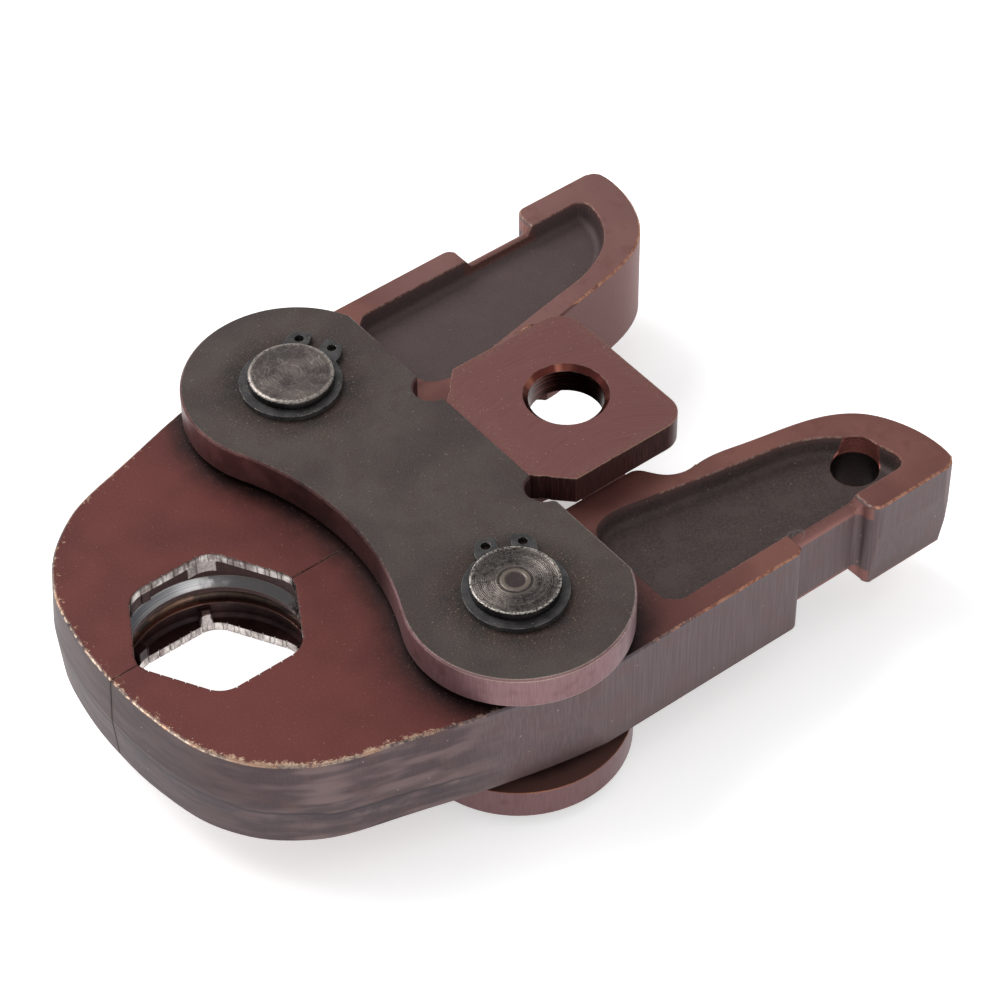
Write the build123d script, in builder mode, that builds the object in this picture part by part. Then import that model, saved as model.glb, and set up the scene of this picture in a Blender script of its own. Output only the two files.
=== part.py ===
from build123d import *
import math
import os

os.makedirs("parts", exist_ok=True)

# Press jaw: two forged levers between two T-shaped link plates, on two pivot pins.
# Frame: origin on the axis of the bore that takes the machine's retaining pin, halfway through the
# thickness. +X runs toward the lever tails, the nose with the press contour is at -X, +Z is up.
# left = +Y, right = -Y. Millimetres.

# ---- driving dimensions ----------------------------------------------------------------------
pin_x = -37.8            # pivot pins, along X from the origin
pin_y = 32.8             # half the distance between the pivot pins
pin_r = 8.0              # pivot pin radius
pin_end_z = 21.0         # half the pin's length
pin_chamfer = 0.2
groove_r = 7.6           # circlip groove radius in the pin
groove_w = 1.1

jaw_h = 10.0             # half the lever thickness
boss_h = 1.5             # raised ring round the pivot, each face
boss_r = 15.0
bore_clear = 0.05        # radial running clearance in the levers
plate_clear = 0.03       # radial clearance in the link plates
seam_gap = 0.1           # each nose face stands this far from the middle plane

plate_z0 = 11.6          # underside of the link plate
plate_t = 6.5            # link plate thickness
plate_end_r = 20.5       # rounded plate ends
plate_end_dx = 0.3       # their centres, from the pin in X
plate_end_y = 33.1
plate_waist_x = 12.6     # waist on the nose side, from the pin line
plate_tail_x = 19.2      # straight edge on the tail side, from the pin line
tab_end_x = 51.8         # end of the tab, from the pin line
tab_half_w = 18.0
tab_root_half = 11.6
tab_step = 0.6           # the tab's outer face is faced down by this
tab_corner_r = 5.0
machine_bore_r = 7.0
machine_bore_chamfer = 1.0

contour_x = -40.5        # centre of the press contour, from the pin line
hex_half_corner = 16.9   # press contour, half the width over the two corners on the seam
hex_apothem = 14.65      # half the width over the flats
hex_flat_half = 8.45
hex_corner_r = 5.0
hex_seam_cut = 0.55      # the two corners on the seam are cut back by this
pad_turn = 64.9          # direction of the pads under the lips, degrees from the seam
lip_h = 1.9              # height of each pressing lip
recess_r = 18.0          # round relief between lip and ring
ridge_r = 16.7
groove_bottom_r = 18.9
pad_w = {1: 5.2, -1: 2.2}   # pads under the upper and lower lips, at the hexagon's corners

pocket_depth = 4.0
pocket_draft = 12.0
pocket_fillet = 1.4
tail_hole = (74.0, -39.0)
tail_hole_r = 4.5
edge_break = 0.35        # outer edges of the levers
notch_v = 48.1           # bottom of the notch in the outer edge
notch_u = (51.0, 66.8)   # its two side walls
notch_lip_z = 8.1        # the pocket rim is lowered to this along the notch
brink_r = 1.3            # rounding of the lowered rim into the notch
hook_v = 52.0            # outer face of the hook behind the notch
nick_pitch = 2.35        # nicks along the pressing lips
nick_w = 0.2
nick_depth = 0.3
nose_bulge = 0.7         # the nose sides stand out by this at mid height

spring_x = 12.0          # return spring, from the pin line
spring_r = 3.4           # mean coil radius
wire_r = 0.75
spring_bore_r = 4.7
spring_bore_y = 22.0     # bottom of the spring bore, from the middle plane
spring_turns = 7.0

circlip_t = 1.0


def at(u, v):
    """A plan point given from the pin line (u) and the middle plane (v), in the part's frame."""
    return (u + pin_x, v)


def plan(points):
    return [at(u, v) for u, v in points]


# ---- lever outline, left side, measured from the pin line --------------------------------------
nose_mid = [
    (-63.1, 0.0), (-62.8, 8.0), (-61.8, 15.0), (-60.1, 21.8), (-57.4, 27.3), (-54.3, 31.5),
    (-50.2, 35.2), (-45.1, 38.5), (-40.0, 40.5), (-35.0, 41.9), (-30.0, 43.3), (-25.0, 44.8),
    (-20.0, 46.3), (-15.0, 47.6), (-8.0, 49.3), (0.0, 50.9), (8.0, 52.1), (16.0, 53.2),
]
tail_end = [
    (87.6, 48.6), (87.6, 45.2), (86.9, 41.0), (85.2, 36.4), (82.2, 31.9), (77.5, 28.5),
    (70.5, 26.1), (60.0, 24.0), (53.0, 22.7), (49.6, 22.8),
]
inner_relief = [(49.6, 22.8), (46.2, 22.9), (43.6, 21.6), (41.9, 19.6), (40.6, 17.8), (38.6, 17.0)]
inner_root = [(19.0, 17.0), (16.0, 15.6), (6.0, 3.6), (-6.0, seam_gap)]
pocket_inner = [
    (23.6, 27.4), (25.6, 23.9), (29.5, 22.7), (34.0, 23.2), (40.0, 24.4), (50.0, 26.3), (60.0, 28.1),
    (65.0, 29.0), (69.0, 30.4), (72.5, 32.3), (75.4, 34.7), (77.7, 37.8), (79.0, 41.0), (79.6, 44.2),
]


# ---- forged blank of the nose: widest at the parting line at mid height -------------------------
def drawn_in(points, amount):
    """The nose line moved toward the inside of the lever by amount, point by point."""
    moved = []
    for i, (u, v) in enumerate(points):
        u0, v0 = points[max(i - 1, 0)]
        u1, v1 = points[min(i + 1, len(points) - 1)]
        length = math.hypot(u1 - u0, v1 - v0)
        if i == 0:
            moved.append((u + amount, v))
        else:
            moved.append((u + amount * (v1 - v0) / length, v - amount * (u1 - u0) / length))
    return moved


with BuildPart() as nose_blank:
    for z, amount in ((-jaw_h, nose_bulge), (0, 0.0), (jaw_h, nose_bulge)):
        line = drawn_in(nose_mid, amount)
        (u_first, v_first), (u_last, v_last) = line[0], line[-1]
        with BuildSketch(Plane.XY.offset(z)) as level:
            with BuildLine():
                Spline(*plan(line))
                Polyline(*plan([(u_last, v_last), (16.0, 75.0), (130.0, 75.0), (130.0, -12.0), (u_first, -12.0), (u_first, v_first)]))
            make_face()
    loft(ruled=True)


# ---- the round, ribbed relief between the two pressing lips --------------------------------------
cx = contour_x + pin_x
z_lip = jaw_h - lip_h
with BuildPart() as contour_relief:
    with BuildSketch(Plane.XZ) as section:
        with BuildLine():
            Polyline(
                (cx, z_lip), (cx + recess_r - 0.6, z_lip), (cx + recess_r, z_lip - 0.6),
                (cx + recess_r, 2.1), (cx + ridge_r, 0.7), (cx + ridge_r, -0.4),
            )
            ThreePointArc((cx + ridge_r, -0.4), (cx + groove_bottom_r, -2.0), (cx + ridge_r, -3.6))
            Polyline(
                (cx + ridge_r, -3.6), (cx + recess_r, -4.6), (cx + recess_r, -z_lip + 0.6),
                (cx + recess_r - 0.6, -z_lip), (cx, -z_lip), (cx, z_lip),
            )
        make_face()
    revolve(axis=Axis((cx, 0, 0), (0, 0, 1)))
    # two small pads under each lip, at the corners of the hexagon, stay standing
    for side in (-1, 1):
        for corner in (-1, 1):
            out_x, out_y = corner * math.cos(math.radians(pad_turn)), side * math.sin(math.radians(pad_turn))
            px, py = at(contour_x + 16.2 * out_x, 16.2 * out_y)
            for zs in (-1, 1):
                with Locations(Plane(origin=(px, py, zs * (z_lip - 1.2)), z_dir=(0, 0, 1), x_dir=(side * out_y, -side * out_x, 0))):
                    Box(pad_w[zs], 9.0, 2.42, mode=Mode.SUBTRACT)


# ---- tail pockets: drafted walls, one well for each face ----------------------------------------
def inset(points, amount):
    """A closed outline, counter-clockwise, moved in by amount with mitred corners."""
    moved = []
    for i in range(len(points)):
        (u0, v0), (u1, v1), (u2, v2) = points[i - 1], points[i], points[(i + 1) % len(points)]
        a, b = math.hypot(u1 - u0, v1 - v0), math.hypot(u2 - u1, v2 - v1)
        n1, n2 = (-(v1 - v0) / a, (u1 - u0) / a), (-(v2 - v1) / b, (u2 - u1) / b)
        k = 1 + n1[0] * n2[0] + n1[1] * n2[1]
        moved.append((u1 + amount * (n1[0] + n2[0]) / k, v1 + amount * (n1[1] + n2[1]) / k))
    return moved


pocket_line = pocket_inner + [(79.2, 45.6), (78.2, 46.4), (76.8, 46.6), (26.0, 46.6), (23.6, 44.4)]
wells = []
for zs in (-1, 1):
    with BuildPart() as well:
        draw = math.tan(math.radians(pocket_draft))
        for depth in (pocket_depth, -1.0):
            ring = plan(inset(pocket_line, (pocket_depth + (depth - pocket_depth)) * draw if depth > 0 else -1.0 * draw))
            n = len(pocket_inner)
            with BuildSketch(Plane.XY.offset(zs * (jaw_h - depth))) as level:
                with BuildLine():
                    Spline(*ring[:n])
                    Polyline(*ring[n - 1:], ring[0])
                make_face()
                fillet([p for p in level.vertices() if p.X < 23.6 + pin_x + 3.5 and p.Y > 43.0], radius=1.6)
        loft(ruled=True)
        floor = well.faces().filter_by(Axis.Z).sort_by(lambda f: zs * f.center().Z)[0]
        fillet(floor.edges(), radius=pocket_fillet)
    wells.append(well.part)


# ---- the lever both sides start from, drawn as the left one --------------------------------------
with BuildPart() as lever:
    # plan outline, both ways from the middle plane
    with BuildSketch() as outline:
        with BuildLine():
            Polyline(*plan([(-6.0, seam_gap), (-70.0, seam_gap), (-70.0, 42.0), (-50.0, 50.0),
                            (-12.0, 50.9), (10.0, 51.15), (notch_u[0], 51.3), (notch_u[0], notch_v),
                            (notch_u[1], notch_v), (notch_u[1], hook_v), (84.6, hook_v), (86.3, 51.4), (87.3, 50.2), (87.6, 48.6)]))
            Spline(*plan(tail_end))
            Spline(*plan(inner_relief))
            Line(at(38.6, 17.0), at(19.0, 17.0))
            Polyline(*plan(inner_root))
        make_face()
        for (u, v), r in (((notch_u[0], 51.3), 2.3), ((notch_u[0], notch_v), 0.8), ((notch_u[1], notch_v), 1.3),
                          ((notch_u[1], hook_v), 2.4)):
            fillet([p for p in outline.vertices() if math.hypot(p.X - u - pin_x, p.Y - v) < 0.01], radius=r)
    extrude(amount=jaw_h, both=True)

    # forged nose: both halves draw in from a parting line at mid height
    add(nose_blank.part, mode=Mode.INTERSECT)

    # outer edges of the plan outline, broken top and bottom
    rims = lever.faces().filter_by(Axis.Z).group_by(Axis.Z)
    for face_group in (rims[-1], rims[0]):
        rim_edges = face_group.sort_by(SortBy.AREA)[-1].outer_wire().edges()
        chamfer([e for e in rim_edges if e.position_at(0.5).Y > 23.5], length=edge_break)

    # press contour: hexagonal lips at both faces, round ribbed relief between them
    with BuildSketch() as hexagon:
        with BuildLine():
            cut_v = 3.4 * hex_seam_cut
            cut_u = hex_half_corner - cut_v / math.tan(math.radians(60.0))
            Polyline(*[at(contour_x + u, v) for u, v in (
                (hex_seam_cut - hex_half_corner, 0), (-cut_u, cut_v), (-hex_flat_half, hex_apothem), (hex_flat_half, hex_apothem),
                (cut_u, cut_v), (hex_half_corner - hex_seam_cut, 0), (cut_u, -cut_v),
                (hex_flat_half, -hex_apothem), (-hex_flat_half, -hex_apothem), (-cut_u, -cut_v),
            )], close=True)
        make_face()
        fillet([v for v in hexagon.vertices() if abs(v.Y) > 10], radius=hex_corner_r)
    extrude(amount=jaw_h + 2, both=True, mode=Mode.SUBTRACT)
    add(contour_relief.part, mode=Mode.SUBTRACT)

    # raised ring round the pivot on both faces, then the pivot bore
    for zs in (-1, 1):
        with BuildSketch(Plane.XY.offset(zs * jaw_h)) as boss:
            with Locations(at(0, pin_y)):
                Circle(boss_r)
        extrude(amount=zs * boss_h)
    with Locations((*at(0, pin_y), 0)):
        Cylinder(pin_r + bore_clear, 4 * jaw_h, mode=Mode.SUBTRACT)

    # tail pocket in both faces
    for well in wells:
        add(well, mode=Mode.SUBTRACT)

    # along the notch the pocket's rim is lowered, and rounded over into the notch
    for zs in (-1, 1):
        with BuildSketch(Plane.XZ.offset(-44.0)) as dip:
            with BuildLine():
                Polyline(*[(u + pin_x, zs * z) for u, z in (
                    (notch_u[0] - 0.5, jaw_h + 1), (notch_u[0] - 0.5, jaw_h), (notch_u[0] + 0.9, notch_lip_z),
                    (notch_u[1] - 1.0, notch_lip_z), (notch_u[1] + 0.4, jaw_h), (notch_u[1] + 0.4, jaw_h + 1),
                )], close=True)
            make_face()
        extrude(amount=-6.0, mode=Mode.SUBTRACT)
        with BuildSketch(Plane(origin=(*at(notch_u[0] + 0.6, 0), 0), x_dir=(0, 1, 0), z_dir=(1, 0, 0))) as brink:
            with BuildLine():
                RadiusArc((notch_v - brink_r, zs * notch_lip_z), (notch_v, zs * (notch_lip_z - brink_r)), zs * brink_r)
                Polyline((notch_v, zs * (notch_lip_z - brink_r)), (notch_v + 1, zs * (notch_lip_z - brink_r)),
                         (notch_v + 1, zs * (notch_lip_z + 1)), (notch_v - brink_r, zs * (notch_lip_z + 1)),
                         (notch_v - brink_r, zs * notch_lip_z))
            make_face()
        extrude(amount=notch_u[1] - notch_u[0] - 1.6, mode=Mode.SUBTRACT)

    # fine vertical nicks along the pressing lips
    for (u0, v0), (u1, v1) in (
        ((-hex_half_corner, 0.0), (-hex_flat_half, hex_apothem)),
        ((-hex_flat_half, hex_apothem), (hex_flat_half, hex_apothem)),
        ((hex_flat_half, hex_apothem), (hex_half_corner, 0.0)),
    ):
        side_len = math.hypot(u1 - u0, v1 - v0)
        count = int((side_len - 4.4) / nick_pitch) + 1
        for i in range(count):
            t = 0.5 + (i - (count - 1) / 2) * nick_pitch / side_len
            nx, ny = at(contour_x + u0 + (u1 - u0) * t, v0 + (v1 - v0) * t)
            turn = math.degrees(math.atan2(v1 - v0, u1 - u0))
            with BuildSketch(Plane(origin=(nx, ny, 0), x_dir=(math.cos(math.radians(turn)), math.sin(math.radians(turn)), 0), z_dir=(0, 0, 1))):
                Rectangle(nick_w, 2 * nick_depth)
            extrude(amount=jaw_h + 1, both=True, mode=Mode.SUBTRACT)

    # blind bore for the return spring, from the inner face
    with BuildSketch(Plane(origin=(*at(spring_x, 0), 0), x_dir=(1, 0, 0), z_dir=(0, 1, 0))) as spring_seat:
        Circle(spring_bore_r)
    extrude(amount=spring_bore_y, mode=Mode.SUBTRACT)

# ---- the left lever: a deeper relief beside the tab ------------------------------------------------
with BuildPart() as left_jaw:
    add(lever.part)
    with Locations((*at(48.0, 20.6), 0)):
        Cylinder(4.2, 4 * jaw_h, mode=Mode.SUBTRACT)
left_jaw.part.label = "left_jaw"
export_step(left_jaw.part, "parts/left_jaw.step")

# ---- the right lever: the other's mirror, with a cross hole in its tail ---------------------------
with BuildPart() as right_jaw:
    add(mirror(lever.part, about=Plane.XZ))
    with Locations((*at(*tail_hole), 0)):
        Cylinder(tail_hole_r, 4 * jaw_h, mode=Mode.SUBTRACT)
    # the hook's outer face and its corner lean in toward the bottom
    for turn, from_u, from_v, length, steps in (
        (-38.0, 86.95, -50.7, -20.0, ((1.0, 0.02), (-5.0, -0.45), (-10.4, -1.3))),
        (-90.0, notch_u[1] - 0.5, -hook_v, -40.0, ((3.0, 0.02), (-10.4, -0.85))),
    ):
        out = (math.cos(math.radians(turn)), math.sin(math.radians(turn)), 0)
        with BuildSketch(Plane(origin=(*at(from_u, from_v), 0), x_dir=out, z_dir=(out[1], -out[0], 0))) as lean:
            with BuildLine():
                Polyline((6, steps[0][0]), *[(step, z) for z, step in steps], (6, steps[-1][0]), close=True)
            make_face()
        extrude(amount=length, both=turn > -80, mode=Mode.SUBTRACT)
right_jaw.part.label = "right_jaw"
export_step(right_jaw.part, "parts/right_jaw.step")

# ---- link plates: T-shaped, the tab carries the bore for the retaining pin ------------------------
waist_r = ((plate_waist_x + plate_end_dx) ** 2 + plate_end_y ** 2 - plate_end_r ** 2) / (
    2 * (plate_end_r - plate_waist_x - plate_end_dx)
)   # radius that leaves the waist and meets both rounded ends tangent
waist_c = plate_waist_x + waist_r
along = plate_end_r / (plate_end_r + waist_r)
meet_u = plate_end_dx - along * (waist_c + plate_end_dx)
meet_v = plate_end_y * (1 - along)
edge_v = plate_end_y - math.sqrt(plate_end_r ** 2 - (plate_tail_x - plate_end_dx) ** 2)
far_v = plate_end_y + math.sqrt(plate_end_r ** 2 - (plate_tail_x - plate_end_dx) ** 2)
with BuildPart() as top_link_plate:
    with BuildSketch(Plane.XY.offset(plate_z0)) as blank:
        with BuildLine():
            ThreePointArc(at(meet_u, -meet_v), at(-plate_waist_x, 0), at(meet_u, meet_v))
            ThreePointArc(at(meet_u, meet_v), at(plate_end_dx, plate_end_y + plate_end_r), at(plate_tail_x, far_v))
            Polyline(*plan([
                (plate_tail_x, far_v), (plate_tail_x, tab_root_half),
                (plate_tail_x + tab_half_w - tab_root_half, tab_half_w), (tab_end_x, tab_half_w), (tab_end_x, -tab_half_w),
                (plate_tail_x + tab_half_w - tab_root_half, -tab_half_w), (plate_tail_x, -tab_root_half), (plate_tail_x, -far_v),
            ]))
            ThreePointArc(at(plate_tail_x, -far_v), at(plate_end_dx, -plate_end_y - plate_end_r), at(meet_u, -meet_v))
        make_face()
        fillet([v for v in blank.vertices() if abs(v.X - (tab_end_x + pin_x)) < 0.01], radius=tab_corner_r)
        for side in (-1, 1):
            with Locations(at(plate_tail_x + 0.2, side * 16.3)):
                Circle(3.4, mode=Mode.SUBTRACT)
        necks = [v for v in blank.vertices() if abs(v.X - (plate_tail_x + pin_x)) < 0.01 and 18 < abs(v.Y) < 22]
        fillet(necks, radius=1.2)
    extrude(amount=plate_t)
    # faced-down tab
    with BuildSketch(Plane.XY.offset(plate_z0 + plate_t - tab_step)):
        with Locations(at(plate_tail_x + 25, 0)):
            Rectangle(50, 60)
    extrude(amount=tab_step + 1, mode=Mode.SUBTRACT)
    outer = top_link_plate.faces().filter_by(Axis.Z).sort_by(Axis.Z)
    chamfer(outer[-1].outer_wire().edges().filter_by(GeomType.CIRCLE), length=0.35)
    # bores
    for side in (-1, 1):
        with Locations((*at(0, side * pin_y), plate_z0)):
            Cylinder(pin_r + plate_clear, 4 * plate_t, mode=Mode.SUBTRACT)
    with Locations((0, 0, plate_z0)):
        Cylinder(machine_bore_r, 4 * plate_t, mode=Mode.SUBTRACT)
    mouth = top_link_plate.edges().filter_by(GeomType.CIRCLE).filter_by(lambda e: abs(e.radius - machine_bore_r) < 0.01).sort_by(Axis.Z)[-1]
    chamfer(mouth, length=machine_bore_chamfer)
top_link_plate.part.label = "top_link_plate"
export_step(top_link_plate.part, "parts/top_link_plate.step")

with BuildPart() as bottom_link_plate:
    add(mirror(top_link_plate.part, about=Plane.XY))
bottom_link_plate.part.label = "bottom_link_plate"
export_step(bottom_link_plate.part, "parts/bottom_link_plate.step")

# ---- pivot pins: grooved for a circlip near each end ----------------------------------------------
plate_top = plate_z0 + plate_t
groove_z = plate_top + 0.05
for name, side in (("left_pin", 1), ("right_pin", -1)):
    ax, ay = at(0, side * pin_y)
    with BuildPart() as pin:
        with Locations((ax, ay, 0)):
            Cylinder(pin_r, 2 * pin_end_z)
        chamfer(pin.edges().filter_by(GeomType.CIRCLE), length=pin_chamfer)
        for zs in (-1, 1):
            with BuildSketch(Plane.XY.offset(zs * groove_z)) as groove:
                with Locations((ax, ay)):
                    Circle(pin_r + 1)
                    Circle(groove_r, mode=Mode.SUBTRACT)
            extrude(amount=zs * groove_w, mode=Mode.SUBTRACT)
            # centre mark left by the lathe
            with Locations((ax, ay, zs * pin_end_z)):
                Cylinder(1.7, 0.5, mode=Mode.SUBTRACT)
    pin.part.label = name
    export_step(pin.part, f"parts/{name}.step")

# ---- circlips: eccentric ring with two eyes beside the gap ----------------------------------------
circlip_r = 9.45
circlip_shift = 0.35     # the ring's outer edge is eccentric by this, away from the gap
eye_turn = 17.6          # the eyes stand this far to either side of the gap, degrees
lug_line = [             # outline of one lug: angle from the gap, distance from the pin's axis
    (6.8, 8.6), (6.6, 12.15), (9.2, 12.6), (20.5, 12.6), (26.0, 11.95), (31.0, 10.9), (35.0, 9.6), (35.0, 8.6),
]
circlip_turn = {"left": 29.0, "right": 62.5}     # direction of the gap, from +X
for name, side, level in (
    ("left_top_circlip", 1, 1), ("right_top_circlip", -1, 1),
    ("left_bottom_circlip", 1, -1), ("right_bottom_circlip", -1, -1),
):
    ax, ay = at(0, side * pin_y)
    turn = circlip_turn["left" if side > 0 else "right"]
    z0 = groove_z + 0.05 if level > 0 else -(groove_z + 0.05 + circlip_t)
    with BuildPart() as circlip:
        seat = Plane(origin=(ax, ay, z0), x_dir=(math.cos(math.radians(turn)), math.sin(math.radians(turn)), 0), z_dir=(0, 0, 1))
        with BuildSketch(seat) as ring:
            with Locations((-circlip_shift, 0)):
                Circle(circlip_r)
            for sign in (-1, 1):
                with BuildLine():
                    Polyline(*[(r * math.cos(math.radians(a)), sign * r * math.sin(math.radians(a))) for a, r in lug_line], close=True)
                make_face()
            Circle(groove_r + 0.05, mode=Mode.SUBTRACT)
            with Locations((9, 0)):
                Rectangle(10, 2.3, mode=Mode.SUBTRACT)
            for sign in (-1, 1):
                eye = (10.9 * math.cos(math.radians(eye_turn)), sign * 10.9 * math.sin(math.radians(eye_turn)))
                with Locations(eye):
                    Circle(0.9, mode=Mode.SUBTRACT)
        extrude(amount=circlip_t)
    circlip.part.label = name
    export_step(circlip.part, f"parts/{name}.step")

# ---- return spring: holds the levers shut, seated in a blind bore in each -------------------------
spring_half = spring_bore_y - 0.3 - wire_r
with BuildPart() as return_spring:
    with BuildLine() as coil:
        Helix(pitch=2 * spring_half / spring_turns, height=2 * spring_half, radius=spring_r,
              center=(*at(spring_x, 0)[:1], -spring_half, 0), direction=(0, 1, 0))
    start = coil.edges()[0]
    with BuildSketch(Plane(origin=start @ 0, z_dir=start % 0)) as wire:
        Circle(wire_r)
    sweep(path=coil.wire(), is_frenet=True)
return_spring.part.label = "return_spring"
export_step(return_spring.part, "parts/return_spring.step")

for sub in (left_jaw, right_jaw, top_link_plate, return_spring):
    box = sub.part.bounding_box()
    print(sub.part.label, round(sub.part.volume), [round(x, 2) for x in (box.min.X, box.min.Y, box.min.Z, box.max.X, box.max.Y, box.max.Z)])
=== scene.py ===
import math
import random

import bpy
import bmesh
from mathutils import Matrix, Vector, noise


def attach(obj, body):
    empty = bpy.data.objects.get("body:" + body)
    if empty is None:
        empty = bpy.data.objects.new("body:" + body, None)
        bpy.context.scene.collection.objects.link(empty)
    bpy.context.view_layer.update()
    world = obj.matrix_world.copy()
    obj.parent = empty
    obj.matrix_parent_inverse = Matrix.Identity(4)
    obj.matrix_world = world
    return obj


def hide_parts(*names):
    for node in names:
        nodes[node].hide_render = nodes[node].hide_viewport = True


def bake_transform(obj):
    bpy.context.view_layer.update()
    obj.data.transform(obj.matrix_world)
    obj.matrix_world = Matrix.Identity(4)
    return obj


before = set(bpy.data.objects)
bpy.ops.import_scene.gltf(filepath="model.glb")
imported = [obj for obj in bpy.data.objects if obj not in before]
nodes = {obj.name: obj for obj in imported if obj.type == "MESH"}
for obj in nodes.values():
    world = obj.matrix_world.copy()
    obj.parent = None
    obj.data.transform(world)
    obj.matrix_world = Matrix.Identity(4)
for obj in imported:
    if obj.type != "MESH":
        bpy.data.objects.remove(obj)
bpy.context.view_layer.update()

MM = 0.001
PIN_X = -37.8            # pivot pins, from the origin (mm)
PIN_Y = 32.8
PIN_END = 21.0
FLOOR_Z = -21.0
random.seed(28)


# ---- colours -------------------------------------------------------------------------------------
def rgb(r, g, b):
    """A colour given in display values from 0 to 255, as linear RGBA."""
    def lin(c):
        c = c / 255.0
        return c / 12.92 if c <= 0.04045 else ((c + 0.055) / 1.055) ** 2.4
    return (lin(r), lin(g), lin(b), 1.0)


# ---- a small writer for shader graphs --------------------------------------------------------------
class Graph:
    def __init__(self, name):
        self.mat = bpy.data.materials.new(name)
        self.mat.use_nodes = True
        self.tree = self.mat.node_tree
        self.tree.nodes.clear()
        self.count = 0

    def new(self, kind):
        n = self.tree.nodes.new(kind)
        n.location = (200 * (self.count % 12), -220 * (self.count // 12))
        self.count += 1
        return n

    def put(self, socket, value):
        if isinstance(value, bpy.types.NodeSocket):
            self.tree.links.new(value, socket)
        elif value is not None:
            socket.default_value = value

    def math(self, op, a, b=None, c=None, clamp=False):
        n = self.new("ShaderNodeMath")
        n.operation = op
        n.use_clamp = clamp
        for i, value in enumerate((a, b, c)):
            if value is not None:
                self.put(n.inputs[i], value)
        return n.outputs[0]

    def add(self, a, b): return self.math("ADD", a, b)
    def sub(self, a, b): return self.math("SUBTRACT", a, b)
    def mul(self, a, b): return self.math("MULTIPLY", a, b)
    def div(self, a, b): return self.math("DIVIDE", a, b)
    def both(self, *values):
        out = values[0]
        for value in values[1:]:
            out = self.mul(out, value)
        return out
    def either(self, *values):
        out = values[0]
        for value in values[1:]:
            out = self.math("MAXIMUM", out, value)
        return out
    def inv(self, a): return self.sub(1.0, a)
    def abs(self, a): return self.math("ABSOLUTE", a)

    def vec(self, op, a, b=None, scale=None):
        n = self.new("ShaderNodeVectorMath")
        n.operation = op
        self.put(n.inputs[0], a)
        if b is not None:
            self.put(n.inputs[1], b)
        if scale is not None:
            self.put(n.inputs["Scale"], scale)
        return n.outputs["Value"] if op in ("DOT_PRODUCT", "LENGTH", "DISTANCE") else n.outputs["Vector"]

    def split(self, v):
        n = self.new("ShaderNodeSeparateXYZ")
        self.put(n.inputs[0], v)
        return n.outputs

    def join(self, x, y, z):
        n = self.new("ShaderNodeCombineXYZ")
        for i, value in enumerate((x, y, z)):
            self.put(n.inputs[i], value)
        return n.outputs[0]

    def span(self, value, lo, hi, a=0.0, b=1.0, kind="SMOOTHSTEP"):
        """value from lo to hi becomes a to b, eased."""
        n = self.new("ShaderNodeMapRange")
        n.interpolation_type = kind
        n.clamp = True
        self.put(n.inputs["Value"], value)
        for key, v in (("From Min", lo), ("From Max", hi), ("To Min", a), ("To Max", b)):
            self.put(n.inputs[key], v)
        return n.outputs["Result"]

    def noise(self, v, scale, detail=2.0, rough=0.5, distortion=0.0):
        n = self.new("ShaderNodeTexNoise")
        self.put(n.inputs["Vector"], v)
        n.inputs["Scale"].default_value = scale
        n.inputs["Detail"].default_value = detail
        n.inputs["Roughness"].default_value = rough
        n.inputs["Distortion"].default_value = distortion
        return n.outputs[0]

    def cells(self, v, scale, feature="F1", randomness=1.0):
        n = self.new("ShaderNodeTexVoronoi")
        n.feature = feature
        self.put(n.inputs["Vector"], v)
        n.inputs["Scale"].default_value = scale
        n.inputs["Randomness"].default_value = randomness
        return n.outputs["Distance"], n.outputs.get("Color")

    def mix(self, f, a, b, blend="MIX"):
        n = self.new("ShaderNodeMix")
        n.data_type = "RGBA"
        n.blend_type = blend
        n.clamp_factor = True
        self.put(n.inputs[0], f)
        self.put(n.inputs[6], a)
        self.put(n.inputs[7], b)
        return n.outputs[2]

    def lerp(self, f, a, b):
        n = self.new("ShaderNodeMix")
        n.data_type = "FLOAT"
        n.clamp_factor = True
        self.put(n.inputs[0], f)
        self.put(n.inputs[2], a)
        self.put(n.inputs[3], b)
        return n.outputs[0]

    def place(self):
        """Object position in mm, and the object-space normal."""
        n = self.new("ShaderNodeTexCoord")
        return self.vec("SCALE", n.outputs["Object"], scale=1000.0), n.outputs["Normal"]

    def curve(self, value, points):
        """A smooth curve through points given as (0..1, 0..1)."""
        n = self.new("ShaderNodeFloatCurve")
        line = n.mapping.curves[0]
        line.points[0].location = points[0]
        line.points[1].location = points[-1]
        for p in points[1:-1]:
            line.points.new(*p)
        n.mapping.update()
        self.put(n.inputs["Value"], value)
        return n.outputs[0]

    def length(self, a, b):
        return self.math("SQRT", self.add(self.mul(a, a), self.mul(b, b)))

    def edges(self, radius_mm, lo, hi):
        """1 on edges, from how far the rounded normal leans away from the face's own."""
        bev = self.new("ShaderNodeBevel")
        bev.samples = 2
        bev.inputs["Radius"].default_value = radius_mm * MM
        geo = self.new("ShaderNodeNewGeometry")
        d = self.vec("DOT_PRODUCT", bev.outputs[0], geo.outputs["Normal"])
        return self.span(self.inv(d), lo, hi), bev.outputs[0]

    def bump(self, height, strength, distance_mm, normal=None):
        n = self.new("ShaderNodeBump")
        n.inputs["Strength"].default_value = strength
        n.inputs["Distance"].default_value = distance_mm * MM
        self.put(n.inputs["Height"], height)
        if normal is not None:
            self.put(n.inputs["Normal"], normal)
        return n.outputs[0]

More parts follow.
